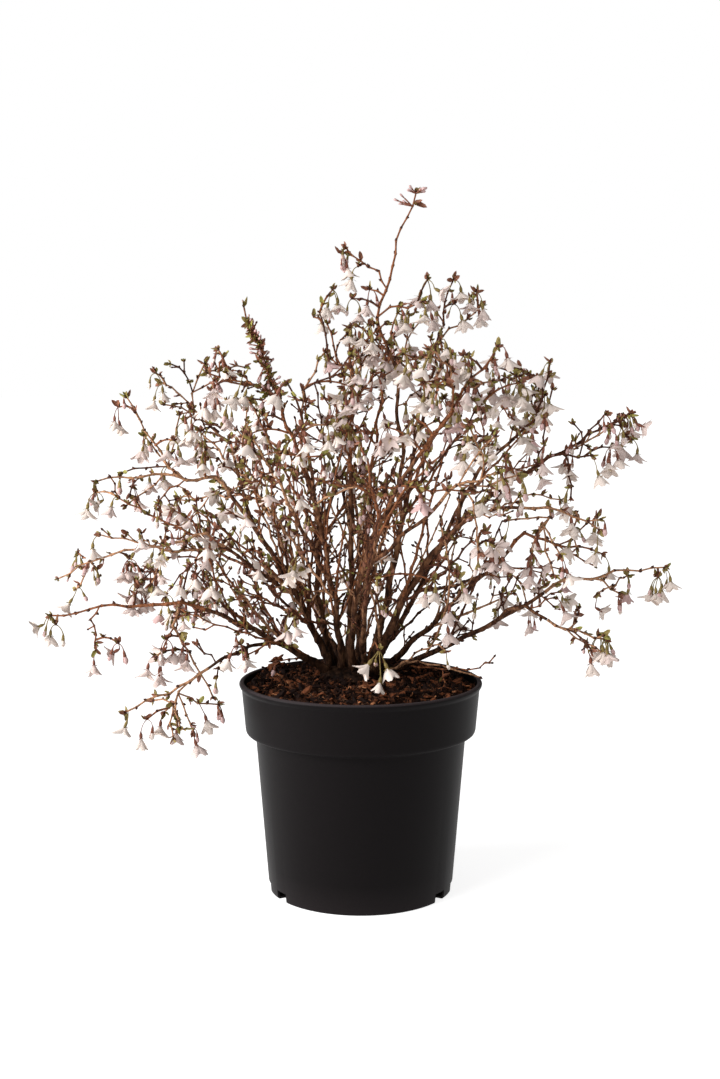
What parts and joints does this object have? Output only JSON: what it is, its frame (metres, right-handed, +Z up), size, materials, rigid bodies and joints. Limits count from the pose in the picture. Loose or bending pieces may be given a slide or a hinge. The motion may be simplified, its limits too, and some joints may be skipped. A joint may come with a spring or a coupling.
{
  "type": "potted flowering shrub",
  "caption": "Small multi-stemmed shrub with zigzag twigs and hanging pale blossom, in a round black nursery pot filled with bark compost.",
  "frame": {"origin": "centre of the pot's flat underside", "axes": "+Z up, -Y towards the front of the plant as pictured, +X to the viewer's right"},
  "size_m": [0.634, 0.4836, 0.7083],
  "materials": {
    "pot": "black recycled plastic with a soft sheen",
    "compost": "moist fibrous bark compost",
    "bark": "thin brown bark, matte",
    "twigs": "brown twigs with pale pinkish-white blossom, matte"
  },
  "bodies": {
    "root": {"pot": "pot", "compost": "compost", "root_crown": "bark", "stem_low_left": "bark", "stem_left": "bark", "stem_centre_left": "bark", "stem_upper_left": "bark", "stem_centre": "bark", "stem_cross": "bark", "stem_back_centre": "bark", "stem_right_upright": "bark", "stem_right": "bark", "stem_low_right": "bark", "stem_far_right": "bark", "stem_back_left": "bark", "stem_back_right": "bark", "stem_back": "bark", "stem_front": "bark", "bough_droop": "bark", "bough_left_mid": "bark", "bough_left_high": "bark", "bough_upper_left": "bark", "bough_top": "bark", "bough_right_up": "bark", "bough_right_mid": "bark", "bough_low_right": "bark", "bough_front_right": "bark", "bough_front_left": "bark", "bough_back_left": "bark", "bough_back_right": "bark", "twigs_left_long": "twigs", "twigs_left_droop": "twigs", "twigs_left_arm": "twigs", "twigs_left": "twigs", "twigs_left_high": "twigs", "twigs_spire_left": "twigs", "twigs_shoulder": "twigs", "twigs_top_left": "twigs", "twigs_top_centre": "twigs", "twigs_top_spire": "twigs", "twigs_top_right": "twigs", "twigs_right_shoulder": "twigs", "twigs_right_arm": "twigs", "twigs_right_up": "twigs", "twigs_right_mid": "twigs", "twigs_right_back": "twigs", "twigs_right_long": "twigs", "twigs_right_droop": "twigs", "twigs_front_right": "twigs", "twigs_front": "twigs", "twigs_front_left": "twigs", "twigs_back_left": "twigs", "twigs_back_left_low": "twigs", "twigs_back": "twigs", "twigs_back_right": "twigs", "twigs_back_right_low": "twigs", "twigs_top_back": "twigs"}
  },
  "joints": []
}
